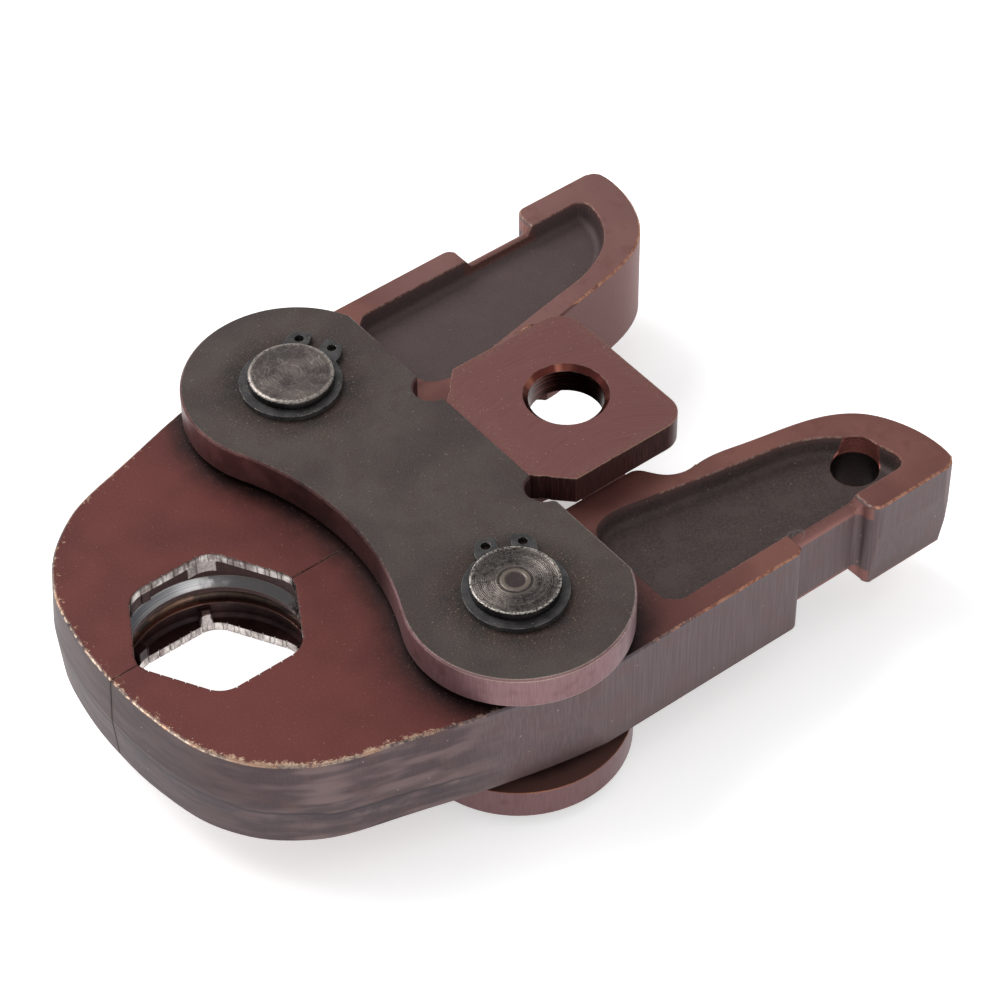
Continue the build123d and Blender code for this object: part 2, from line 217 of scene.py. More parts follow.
    def shader(self, color, rough, metal, normal, spec=0.5, glow=None):
        p = self.new("ShaderNodeBsdfPrincipled")
        out = self.new("ShaderNodeOutputMaterial")
        self.put(p.inputs["Base Color"], color)
        self.put(p.inputs["Roughness"], rough)
        self.put(p.inputs["Metallic"], metal)
        p.inputs["Specular IOR Level"].default_value = spec
        if glow is not None:
            p.inputs["Emission Color"].default_value = (1.0, 1.0, 1.0, 1.0)
            self.put(p.inputs["Emission Strength"], glow)
        if normal is not None:
            self.put(p.inputs["Normal"], normal)
        self.tree.links.new(p.outputs[0], out.inputs[0])
        return self.mat


def specks(g, P, scale, share, lo=0.0, hi=0.16):
    """Small bright or dark dots: a share of the cells carry one."""
    dist, color = g.cells(P, scale)
    pick = g.split(color)[0]
    return g.both(g.span(dist, hi, lo), g.span(pick, 1.0 - share, 1.0 - share + 0.02))


def beside_plate(g, u, v):
    """Distance in mm from the rim of the link plates, seen in plan; negative under the plate."""
    disc = g.sub(g.length(g.sub(u, 0.3), g.sub(v, 33.1)), 20.5)
    waist = g.sub(55.38, g.length(g.add(u, 67.98), v))
    return g.lerp(g.span(v, 21.0, 26.0), waist, disc)


# ---- materials -------------------------------------------------------------------------------------
def jaw_material():
    g = Graph("jaw_worn_oxide")
    P, N = g.place()
    x, y, z = g.split(P)
    nx, ny, nz = g.split(N)
    u = g.add(x, 37.8)
    v = g.abs(y)
    h = g.abs(z)
    nv = g.mul(ny, g.math("SIGN", y))
    flat = g.span(g.abs(nz), 0.90, 0.97)
    top = g.mul(flat, g.span(h, 9.75, 9.93))

    # where
    to_u, to_v = g.sub(52.0, u), g.sub(37.0, v)
    away = g.length(to_u, to_v)
    facing = g.div(g.add(g.mul(nx, to_u), g.mul(nv, to_v)), g.math("MAXIMUM", away, 1.0))
    within = g.both(g.span(u, 21.0, 22.0), g.span(v, 47.4, 47.1), g.span(h, 9.99, 9.9))
    wall = g.mul(within, g.span(facing, 0.12, 0.3))
    floor = g.both(g.span(h, 7.6, 7.3), g.span(u, 20.5, 21.5), g.span(g.abs(nz), 0.3, 0.5), g.span(v, 47.4, 47.1))
    pocket = g.either(wall, floor)
    cu = g.add(u, 40.5)
    rc = g.length(cu, v)
    contour = g.both(g.span(rc, 19.4, 19.2), g.span(h, 9.96, 9.88), g.span(u, -60.5, -60.0))
    notch = g.both(g.span(u, 49.8, 50.4), g.span(u, 67.6, 67.2), g.span(v, 45.6, 45.9), g.span(h, 9.6, 9.2), g.span(h, 6.4, 6.9))
    hole_d = g.length(g.sub(u, 74.0), g.add(y, 39.0))
    hole = g.mul(g.span(hole_d, 4.8, 4.6), g.inv(flat))
    side = g.both(g.inv(top), g.inv(pocket), g.inv(contour))
    nose = g.span(u, -10.0, -26.0)
    tail = g.span(u, -24.0, 30.0)
    near = beside_plate(g, u, v)

    # distance in from the rim round the nose
    turn = g.div(g.math("ARCTAN2", v, g.mul(cu, -1.0)), 2.1)
    reach = g.mul(60.0, g.curve(turn, [
        (0.0, 0.3767), (0.164, 0.395), (0.2925, 0.434), (0.399, 0.488), (0.4837, 0.535), (0.551, 0.573), (0.62, 0.608),
        (0.6915, 0.647), (0.754, 0.675), (0.81, 0.705), (0.861, 0.7425), (0.907, 0.79), (0.948, 0.843), (1.0, 0.92),
    ]))
    inside = g.sub(g.sub(reach, 0.9), rc)

    # broad and fine variation
    cloud = g.noise(P, 0.055, 2.0, 0.55)
    cloud2 = g.noise(P, 0.22, 3.0, 0.6)
    fine = g.noise(P, 2.2, 2.0, 0.65)
    chip = g.noise(P, 0.95, 4.0, 0.78)
    hatch = g.noise(g.join(g.mul(x, 4.6), g.mul(y, 4.6), g.mul(z, 0.10)), 1.0, 2.0, 0.55)
    dents = g.noise(g.join(g.mul(x, 0.075), g.mul(y, 0.075), g.mul(z, 0.34)), 1.0, 2.0, 0.55)
    dots = specks(g, P, 0.55, 0.14, 0.04, 0.12)
    fine_dots = specks(g, P, 1.5, 0.045, 0.10, 0.26)

    # ground faces: red-brown oxide, darker toward the nose
    c_nose = g.mix(g.span(cloud, 0.32, 0.70), rgb(86, 40, 36), rgb(100, 48, 44))
    c_tail = g.mix(g.span(cloud, 0.36, 0.66), rgb(104, 63, 59), rgb(124, 80, 72))
    c_tail = g.mix(g.both(g.span(y, 0.0, 10.0), g.span(u, 24.0, 40.0), 0.40), c_tail, rgb(142, 108, 104))
    c_top = g.mix(tail, c_nose, c_tail)
    c_top = g.mix(g.mul(g.span(cloud2, 0.50, 0.72), g.lerp(tail, 0.08, 0.48)), c_top, rgb(104, 60, 55))
    c_top = g.mix(g.both(g.span(u, 44.0, 24.0), g.span(v, 36.0, 46.0), g.span(u, 8.0, 14.0), g.span(y, 0.0, -8.0), 0.6), c_top, rgb(84, 44, 40))
    c_top = g.mix(g.mul(g.span(fine, 0.55, 0.75), 0.25), c_top, rgb(140, 90, 78))
    c_top = g.mix(g.mul(fine_dots, 0.30), c_top, rgb(176, 132, 110))

    # sides: grey-purple scale with fine upright marks, smoother round the nose, with painted shading in its dents and
    # under its parting line
    c_flank = g.mix(g.span(hatch, 0.34, 0.68), rgb(89, 74, 76), rgb(102, 86, 88))
    c_flank = g.mix(g.mul(g.span(cloud2, 0.48, 0.70), 0.6), c_flank, rgb(98, 74, 73))
    c_flank = g.mix(g.mul(g.span(z, -5.0, -9.5), 0.5), c_flank, rgb(84, 66, 64))
    c_flank = g.mix(g.mul(g.span(z, 8.0, 9.6), 0.3), c_flank, rgb(86, 84, 92))
    # round the nose the colour follows the dents' relief, darker where it dips: painted shading of the dents
    c_round = g.mix(g.span(dents, 0.38, 0.64), rgb(71, 57, 60), rgb(107, 88, 88))
    c_round = g.mix(g.mul(g.span(cloud2, 0.46, 0.70), 0.40), c_round, rgb(96, 72, 67))
    c_round = g.mix(g.mul(g.span(hatch, 0.40, 0.64), 0.15), c_round, rgb(104, 88, 86))
    c_round = g.mix(g.mul(g.span(u, -46.0, -60.0), 0.68), c_round, rgb(62, 46, 48))
    c_side = g.mix(nose, c_flank, c_round)
    c_side = g.mix(g.mul(dots, 0.5), c_side, rgb(190, 172, 160))
    # the parting line along the nose, with painted shade under it
    line_z = g.add(g.add(-1.2, g.mul(g.span(u, -62.0, -30.0), -2.4)), g.mul(g.sub(g.noise(P, 0.12, 2.0), 0.5), 2.4))
    under_line = g.sub(line_z, z)
    part_line = g.both(g.span(g.abs(under_line), 0.50, 0.05), g.span(u, -14.0, -26.0), side)
    # painted shade below the parting line, broken by noise
    shade_under_line = g.both(g.span(under_line, -0.3, 0.4), g.span(under_line, 4.6, 1.2), nose, g.span(cloud2, 0.40, 0.58), side)
    c_side = g.mix(g.mul(part_line, 0.75), c_side, rgb(46, 38, 42))
    c_side = g.mix(g.mul(shade_under_line, 0.60), c_side, rgb(54, 48, 56))
    # darker brown along the seam between the jaws
    seam = g.both(side, g.span(v, 0.9, 0.25), nose)
    c_side = g.mix(g.mul(seam, 0.8), c_side, rgb(52, 36, 30))
    # inner side faces, toward the middle, and the cam edge: redder
    inner = g.both(side, g.span(nv, -0.05, -0.35), g.span(u, 0.0, 10.0))
    c_side = g.mix(g.mul(inner, 0.85), c_side, rgb(110, 70, 66))
    cam = g.both(side, g.span(u, 66.0, 80.0), g.span(nx, 0.1, 0.5))
    c_side = g.mix(g.mul(cam, g.lerp(g.span(v, 46.0, 42.0), 0.25, 0.7)), c_side, rgb(118, 80, 75))

    # pockets: dark forged floor and walls
    c_pocket = g.mix(g.span(fine, 0.35, 0.7), rgb(54, 43, 41), rgb(72, 59, 56))
    c_pocket = g.mix(g.mul(g.span(cloud2, 0.44, 0.66), 0.6), c_pocket, rgb(74, 59, 57))
    c_pocket = g.mix(g.mul(g.span(y, 0.0, 10.0), 0.45), c_pocket, rgb(92, 74, 75))
    c_pocket = g.mix(g.both(wall, g.span(h, 8.2, 9.6), 0.6), c_pocket, rgb(92, 64, 62))
    c_pocket = g.mix(g.mul(fine_dots, 0.5), c_pocket, rgb(150, 130, 120))

    color = g.mix(top, c_side, c_top)
    color = g.mix(pocket, color, c_pocket)
    rough = g.lerp(top, 0.50, 0.44)
    rough = g.lerp(pocket, rough, 0.62)
    metal = g.lerp(pocket, 0.55, 0.35)

    # press contour: bright lips with dark nicks, polished cone, copper-brown groove
    lip_face = g.mul(g.span(h, 8.10, 8.14), g.inv(flat))
    lip = g.mul(contour, lip_face)
    c_lip = g.mix(g.span(g.noise(g.join(g.mul(u, 0.9), 0.0, g.mul(z, 0.3)), 1.0, 2.0, 0.6), 0.34, 0.66), rgb(144, 134, 131), rgb(226, 220, 215))
    pitch = g.math("FRACT", g.div(g.add(u, g.mul(g.noise(P, 0.7, 0.0), 0.25)), 1.2))
    thin_nick = g.mul(g.span(pitch, 0.12, 0.05), g.span(g.noise(g.join(u, 0.0, 0.0), 0.9, 0.0), 0.45, 0.54))
    c_lip = g.mix(g.mul(thin_nick, 0.8), c_lip, rgb(52, 38, 38))
    c_lip = g.mix(g.mul(g.span(cloud2, 0.54, 0.62), 0.40), c_lip, rgb(104, 84, 80))
    c_lip = g.mix(g.mul(g.span(cu, -12.5, -14.5), 0.85), c_lip, rgb(70, 48, 46))
    under = g.mul(contour, g.inv(lip_face))
    below = g.span(z, -3.6, -4.4)
    c_under = g.mix(g.span(fine, 0.4, 0.7), rgb(56, 30, 30), rgb(72, 42, 39))
    c_under = g.mix(below, c_under, g.mix(g.span(cloud2, 0.4, 0.64), rgb(46, 25, 26), rgb(70, 42, 41)))
    cone = g.both(under, g.span(z, 0.55, 0.75), g.span(z, 2.45, 2.2), g.span(rc, 16.4, 16.6))
    groove = g.both(under, g.span(z, -3.75, -3.6), g.span(z, -0.3, -0.5), g.span(rc, 16.5, 16.6))
    ridge = g.both(under, g.span(z, -4.9, -4.6), g.span(z, -3.5, -3.65))
    band = g.noise(g.join(0.0, g.mul(rc, 0.2), g.mul(z, 2.6)), 1.0, 2.0, 0.6)
    # the cone is painted darker and bluish toward the nose and lighter toward the middle: a painted reflection
    c_cone = g.mix(g.span(g.add(band, g.mul(cu, 0.012)), 0.36, 0.62), rgb(120, 124, 130), rgb(176, 174, 174))
    c_under = g.mix(cone, c_under, c_cone)
    c_groove = g.mix(g.span(g.noise(P, 0.30, 2.0), 0.42, 0.60), rgb(118, 92, 78), rgb(74, 66, 65))
    c_under = g.mix(groove, c_under, g.mix(g.mul(g.span(band, 0.45, 0.6), 0.5), c_groove, rgb(168, 138, 116)))
    # the ridge is painted lighter copper toward the tail side: a painted highlight along the bead's lower edge
    c_under = g.mix(g.mul(ridge, g.span(cu, -12.0, 2.0)), c_under, rgb(150, 108, 98))
    pad_a = g.abs(g.sub(g.math("ARCTAN2", v, cu), math.radians(64.9)))
    pad_w = g.add(g.lerp(below, 0.225, g.span(h, 4.6, 9.6, 0.030, 0.095, "LINEAR")), g.mul(g.sub(g.noise(P, 0.9, 1.0), 0.5), 0.05))
    pads = g.both(under, g.span(g.sub(pad_w, pad_a), -0.008, 0.008), g.span(rc, 17.3, 17.1), g.span(h, 4.4, 4.6))
    c_under = g.mix(pads, c_under, g.mix(g.span(fine, 0.36, 0.64), rgb(168, 158, 156), rgb(202, 194, 191)))
    # the pressing surface ends scorched and chipped at the seam
    ends = g.both(contour, g.span(v, 3.0, 0.6), g.span(z, -3.0, -2.0), g.span(cloud2, 0.38, 0.55))
    # the cone and groove are painted dark toward the tail side, broken by noise: the dark end of the painted reflection
    dim_tail_side = g.both(g.either(cone, groove), g.span(g.add(g.mul(cu, 0.05), cloud2), 0.80, 1.0))
    color = g.mix(lip, color, c_lip)
    color = g.mix(under, color, c_under)
    color = g.mix(g.mul(dim_tail_side, 0.75), color, rgb(48, 43, 43))
    color = g.mix(g.mul(ends, 0.8), color, g.mix(g.span(fine, 0.5, 0.6), rgb(34, 24, 24), rgb(130, 114, 106)))
    rough = g.lerp(lip, rough, 0.30)
    rough = g.lerp(under, rough, 0.45)
    rough = g.lerp(g.either(cone, groove), rough, 0.30)
    metal = g.lerp(g.either(lip, cone, groove, ridge, pads), metal, 1.0)
    metal = g.lerp(g.both(under, below, g.inv(pads)), metal, 0.45)

    # copper tones on the lowered rim at the notch, and in the cross hole
    c_copper = g.mix(g.span(v, 46.2, 47.9), rgb(102, 68, 62), rgb(138, 94, 88))
    c_copper = g.mix(g.mul(g.span(fine, 0.45, 0.7), 0.3), c_copper, rgb(150, 106, 98))
    color = g.mix(g.mul(notch, 0.9), color, c_copper)
    c_hole = g.mix(g.span(g.add(g.noise(g.join(0.0, 0.0, z), 2.6, 2.0, 0.7), g.mul(fine, 0.4)), 0.58, 0.82), rgb(150, 86, 78), rgb(184, 112, 100))
    # deeper inside the hole the wall is painted near black: painted shade
    c_hole = g.mix(g.span(h, 6.1, 5.7), c_hole, rgb(30, 16, 14))
    color = g.mix(hole, color, c_hole)
    rough = g.lerp(hole, rough, 0.36)
    metal = g.lerp(g.either(hole, g.mul(notch, 0.6)), metal, 0.8)

    # grease with painted shade, and dust, beside the link plates
    ragged = g.add(near, g.mul(g.sub(g.mul(g.add(cloud2, chip), 0.5), 0.5), 6.0))
    behind = g.mul(g.span(u, 11.0, 16.0), g.span(v, 28.0, 22.0))
    # grease and painted shade: a ragged dark band on the tops along the plates' rims
    grease_and_shade = g.both(top, g.span(ragged, 7.0, -0.8), g.span(u, 44.0, 24.0), g.inv(behind))
    color = g.mix(g.mul(g.math("POWER", grease_and_shade, 1.25), 0.92), color, rgb(20, 10, 10))
    crumbs = g.both(specks(g, P, 2.1, 0.30, 0.10, 0.28), g.span(ragged, 3.2, 0.4), top, g.inv(behind))
    color = g.mix(g.mul(crumbs, 0.42), color, rgb(160, 130, 114))

    # wear on the edges with a painted highlight, weaker on the lower edges: a broken brass and copper line
    edge, rounded = g.edges(0.45, 0.012, 0.10)
    rx, ry, rz = g.split(rounded)
    lean = g.div(g.add(g.mul(rx, to_u), g.both(ry, g.math("SIGN", y), to_v)), g.math("MAXIMUM", away, 1.0))
    brim = g.both(g.span(lean, 0.05, 0.2), g.span(u, 19.0, 21.0))
    chamfer_zone = g.both(g.span(h, 9.58, 9.66), g.inv(top), g.inv(contour), g.span(h, 10.1, 10.02))
    tip = g.span(u, -22.0, -44.0)
    amount = g.add(g.mul(chip, 0.5), g.add(g.mul(cloud, 0.45), g.add(g.mul(tip, 0.03), g.mul(g.span(u, 18.0, 34.0), 0.13))))
    wear = g.mul(g.either(edge, chamfer_zone), g.span(amount, 0.43, 0.58))
    wear = g.both(wear, g.span(near, 0.3, 2.0), g.inv(g.both(g.span(rc, 21.0, 19.0), 0.80)), g.lerp(brim, 1.0, 0.6))
    # the line is kept full on the upper edges and weak on the lower ones: partly a painted highlight
    wear = g.both(wear, g.inv(g.both(g.inv(top), g.span(v, 1.8, 0.9), nose, g.span(h, 9.7, 9.3))), g.lerp(g.span(z, 8.4, 9.3), 0.35, 1.0))
    c_wear_and_highlight = g.mix(g.span(cloud2, 0.44, 0.62), rgb(188, 166, 148), rgb(198, 158, 132))
    c_wear_and_highlight = g.mix(g.span(u, -6.0, 24.0), c_wear_and_highlight, g.mix(g.span(chip, 0.40, 0.60), rgb(150, 98, 82), rgb(196, 144, 120)))
    c_wear_and_highlight = g.mix(brim, c_wear_and_highlight, g.mix(g.span(chip, 0.42, 0.60), rgb(150, 104, 94), rgb(206, 176, 164)))
    # a scuffed band just inside the rim round the nose
    round_nose = g.both(g.span(u, -6.0, -26.0), g.span(inside, -2.5, -1.5))
    front = g.both(g.span(y, 8.0, -8.0), g.span(u, -64.0, -56.0))
    scuff = g.both(top, round_nose, g.span(inside, 1.9, 1.4), g.span(g.add(chip, g.mul(g.span(inside, 1.8, 0.0), g.add(g.mul(tip, 0.06), g.mul(front, 0.12)))), 0.61, 0.67))
    # a few scattered marks along the tails' rims
    scuff = g.either(scuff, g.both(top, g.span(u, 22.0, 30.0), g.span(chip, 0.70, 0.76), 0.6))
    color = g.mix(g.mul(scuff, 0.80), color, g.mix(g.span(fine, 0.4, 0.6), rgb(168, 126, 102), rgb(206, 184, 160)))
    color = g.mix(g.mul(wear, 0.92), color, c_wear_and_highlight)
    bare = g.either(wear, g.mul(scuff, 0.7))
    rough = g.lerp(bare, rough, 0.32)
    metal = g.lerp(bare, metal, 1.0)

    # relief
    forged = g.both(g.span(u, 20.5, 21.5), g.span(h, 9.4, 9.0), g.span(v, 47.4, 47.1))
    h_side = g.add(g.mul(hatch, 0.18), g.both(nose, dents, 7.0))
    height = g.add(g.mul(fine, g.lerp(contour, g.lerp(forged, 0.35, 1.8), 0.08)), g.mul(g.span(h, 9.9, 9.6), h_side))
    normal = g.bump(height, 0.40, 0.08, rounded)
    return g.shader(color, rough, metal, normal)


def plate_material():
    g = Graph("plate_worn_oxide")
    P, N = g.place()
    x, y, z = g.split(P)
    nx, ny, nz = g.split(N)
    u = g.add(x, 37.8)
    v = g.abs(y)
    h = g.abs(z)
    flat = g.span(g.abs(nz), 0.90, 0.97)
    tab = g.both(g.span(u, 19.0, 19.4), flat, g.span(h, 17.6, 17.45), g.span(h, 17.2, 17.4))
    outer = g.both(flat, g.span(h, 17.9, 18.0))
    inner = g.both(flat, g.span(h, 12.0, 11.8))
    hole_d = g.length(x, y)
    mouth = g.both(g.span(hole_d, 8.15, 8.05), g.inv(flat), g.span(h, 16.3, 16.5))
    bore = g.both(g.span(hole_d, 7.2, 7.1), g.inv(mouth), g.inv(flat))
    pin_d = g.length(u, g.sub(v, 32.8))

    cloud = g.noise(P, 0.06, 3.0, 0.55)
    cloud2 = g.noise(P, 0.25, 4.0, 0.6)
    fine = g.noise(P, 2.6, 3.0, 0.65)
    grain = g.noise(P, 3.2, 3.0, 0.75)
    fine_dots = specks(g, P, 1.6, 0.10, 0.08, 0.26)
    big_dots = specks(g, P, 0.6, 0.10, 0.03, 0.11)

    # matte outer face
    c_out = g.mix(g.span(cloud, 0.38, 0.64), rgb(58, 48, 45), rgb(72, 63, 59))
    c_out = g.mix(g.mul(g.span(cloud2, 0.48, 0.7), 0.6), c_out, rgb(66, 51, 46))
    c_out = g.mix(g.mul(g.span(grain, 0.52, 0.70), 0.55), c_out, rgb(96, 85, 79))
    c_out = g.mix(g.mul(g.span(grain, 0.48, 0.34), 0.45), c_out, rgb(38, 30, 28))
    # painted shade round the pins, ragged by noise
    pin_shade = g.span(g.add(pin_d, g.mul(g.sub(cloud2, 0.5), 3.5)), 15.6, 9.6)
    c_out = g.mix(g.mul(pin_shade, 0.84), c_out, g.mix(g.span(cloud2, 0.4, 0.6), rgb(27, 19, 16), rgb(48, 31, 25)))
    dust = g.both(g.span(pin_d, 17.0, 11.5), specks(g, P, 1.5, 0.15, 0.12, 0.31))
    c_out = g.mix(g.mul(dust, 0.42), c_out, rgb(142, 122, 108))
    grit = g.both(g.span(pin_d, 18.0, 11.0), g.span(grain, 0.56, 0.66))
    c_out = g.mix(g.mul(grit, 0.45), c_out, rgb(126, 106, 92))
    c_out = g.mix(g.mul(fine_dots, 0.45), c_out, rgb(146, 134, 122))
    c_out = g.mix(g.mul(big_dots, 0.5), c_out, rgb(160, 142, 124))

    # faced tab: red-brown, faint arcs left by the cutter
    arc_d = g.length(g.add(x, 6.0), g.add(y, 34.0))
    arcs = g.noise(g.join(g.mul(arc_d, 4.6), 0.0, g.mul(cloud2, 2.0)), 1.0, 2.0, 0.6)
    c_tab = g.mix(g.span(arcs, 0.34, 0.68), rgb(121, 75, 73), rgb(134, 87, 84))
    c_tab = g.mix(g.mul(g.span(cloud2, 0.5, 0.72), 0.35), c_tab, rgb(120, 80, 76))
    rim_near = g.either(g.span(v, 14.6, 17.6), g.span(x, 10.4, 13.6), g.span(x, -12.0, -18.0))
    c_tab = g.mix(g.both(rim_near, g.span(fine, 0.44, 0.66), 0.35), c_tab, rgb(146, 116, 98))
    c_tab = g.mix(g.mul(fine_dots, 0.55), c_tab, rgb(210, 172, 146))

    # rims: polished pinkish at the right end, dark round the waist and left end with grime and painted shade
    upright = g.noise(g.join(g.mul(x, 4.5), g.mul(y, 4.5), g.mul(z, 0.25)), 1.0, 2.0, 0.55)
    c_rim = g.mix(g.span(upright, 0.30, 0.72), rgb(120, 88, 92), rgb(134, 102, 105))
    c_rim = g.mix(g.span(u, 3.0, 12.0), c_rim, g.mix(g.span(upright, 0.30, 0.72), rgb(134, 108, 112), rgb(150, 124, 128)))
    c_rim = g.mix(g.mul(g.span(cloud2, 0.50, 0.72), 0.6), c_rim, rgb(100, 66, 68))
    c_rim = g.mix(g.mul(g.span(z, 1.0, -1.0), 0.45), c_rim, rgb(90, 58, 56))
    # round the waist and at the left end: grime and painted shade, darkest at the waist
    c_waist = g.mix(g.span(cloud2, 0.40, 0.65), rgb(52, 28, 29), rgb(72, 41, 41))
    c_rim = g.mix(g.span(y, -21.0, -11.0), c_rim, g.mix(g.span(y, 12.0, 24.0), c_waist, g.mix(g.span(cloud2, 0.40, 0.65), rgb(86, 52, 52), rgb(104, 68, 66))))
    c_rim = g.mix(g.span(u, 18.0, 20.0), c_rim, g.mix(g.span(upright, 0.4, 0.64), rgb(62, 38, 38), rgb(88, 56, 54)))
    c_rim = g.mix(g.mul(big_dots, 0.6), c_rim, rgb(190, 160, 140))

    color = g.mix(outer, c_rim, c_out)
    # inner faces: painted shade from the jaws, near black toward the pins and lighter brown toward the rim
    c_inner_shaded = g.mix(g.span(g.add(pin_d, g.mul(g.sub(cloud2, 0.5), 3.0)), 14.5, 18.5), rgb(34, 25, 23), rgb(108, 76, 70))
    color = g.mix(inner, color, c_inner_shaded)
    color = g.mix(tab, color, c_tab)
    # the bore's chamfer is coloured by which way it faces: painted glints, and painted darker sides where it faces
    # along x
    around = g.noise(g.join(nx, ny, 0.0), 2.0, 2.0)
    c_mouth = g.mix(g.span(around, 0.42, 0.62), rgb(98, 50, 44), rgb(188, 122, 104))
    c_mouth = g.mix(g.span(g.abs(nx), 0.34, 0.62), c_mouth, rgb(76, 38, 35))
    color = g.mix(mouth, color, c_mouth)
    threads = g.noise(g.join(0.0, 0.0, z), 2.0, 2.0, 0.7)
    color = g.mix(bore, color, g.mix(g.span(threads, 0.42, 0.62), rgb(44, 25, 24), rgb(96, 56, 50)))
    rough = g.lerp(outer, 0.42, 0.56)
    rough = g.lerp(tab, rough, 0.42)
    rough = g.lerp(g.either(mouth, bore), rough, 0.28)
    metal = g.lerp(outer, 0.6, 0.35)
    metal = g.lerp(g.either(mouth, bore), metal, 1.0)

    edge, rounded = g.edges(0.36, 0.010, 0.09)
    open_rim = g.inv(g.span(pin_d, 9.2, 8.8))
    bright = g.span(y, -18.0, -26.0)
    on_tab = g.both(g.span(u, 19.4, 20.4), g.span(v, 8.0, 9.0))
    end_tab = g.either(on_tab, g.span(x, 9.0, 11.0))
    wear = g.both(edge, g.span(g.add(g.add(g.mul(bright, 0.10), g.mul(end_tab, 0.11)), g.add(g.mul(g.noise(P, 1.1, 3.0, 0.7), 0.55), g.mul(cloud, 0.5))), 0.47, 0.64), open_rim)
    c_edge = g.mix(bright, rgb(168, 150, 140), rgb(226, 208, 188))
    c_edge = g.mix(end_tab, c_edge, rgb(204, 174, 146))
    color = g.mix(g.mul(wear, 0.85), color, g.mix(g.span(z, 0.0, 1.0), rgb(200, 128, 92), c_edge))
    rough = g.lerp(wear, rough, 0.30)
    metal = g.lerp(wear, metal, 1.0)

    height = g.add(g.mul(fine, 0.4), g.mul(grain, 0.6))
    normal = g.bump(height, 0.30, 0.06, rounded)
    return g.shader(color, rough, metal, normal)


